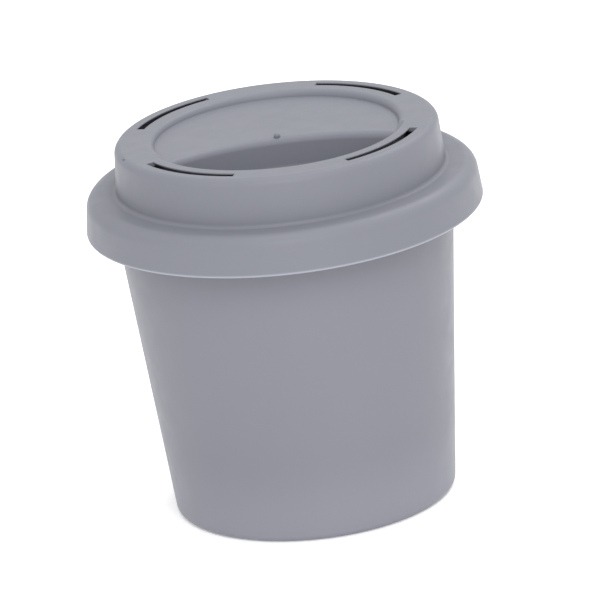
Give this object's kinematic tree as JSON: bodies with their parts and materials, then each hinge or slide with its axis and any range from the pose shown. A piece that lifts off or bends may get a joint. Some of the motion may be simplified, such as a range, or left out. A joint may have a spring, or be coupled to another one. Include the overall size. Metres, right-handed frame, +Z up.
{
  "type": "paw washer cup",
  "caption": "Tapered pet paw washing cup with a domed, vented snap lid, a finger pocket in the lid, and a lift-out cage of silicone bristle strips under a slit splash guard.",
  "frame": {"origin": "centre of the circle on which the base's foot ring stands", "axes": "+Z up along the cup's axis, -Y towards the lid's finger pocket, +X to the right when the pocket faces the viewer"},
  "size_m": [0.116, 0.116, 0.113],
  "materials": {
    "cup_plastic": "satin moulded polypropylene",
    "lid_plastic": "satin moulded polypropylene",
    "insert_plastic": "satin moulded polypropylene",
    "bristle_silicone": "soft matte silicone",
    "guard_silicone": "soft matte silicone"
  },
  "bodies": {
    "cup": {"cup_body": "cup_plastic"},
    "insert": {"brush_cage": "insert_plastic"},
    "brushes": {"bristle_strip_1": "bristle_silicone", "bristle_strip_2": "bristle_silicone", "bristle_strip_3": "bristle_silicone", "bristle_strip_4": "bristle_silicone", "bristle_strip_5": "bristle_silicone", "bristle_strip_6": "bristle_silicone", "bristle_strip_7": "bristle_silicone", "bristle_strip_8": "bristle_silicone"},
    "guard": {"splash_guard": "guard_silicone", "guard_ring": "insert_plastic"},
    "lid": {"lid": "lid_plastic"}
  },
  "joints": [
    {"name": "insert_lift", "type": "slide", "parent": "cup", "child": "insert", "axis": [0, 0, 1], "range_m": [0, 0.095]},
    {"name": "brushes_lift", "type": "slide", "parent": "insert", "child": "brushes", "axis": [0, 0, 1], "range_m": [0, 0.08]},
    {"name": "guard_lift", "type": "slide", "parent": "brushes", "child": "guard", "axis": [0, 0, 1], "range_m": [0, 0.03]},
    {"name": "lid_lift", "type": "slide", "parent": "guard", "child": "lid", "axis": [0, 0, 1], "range_m": [0, 0.04]}
  ]
}
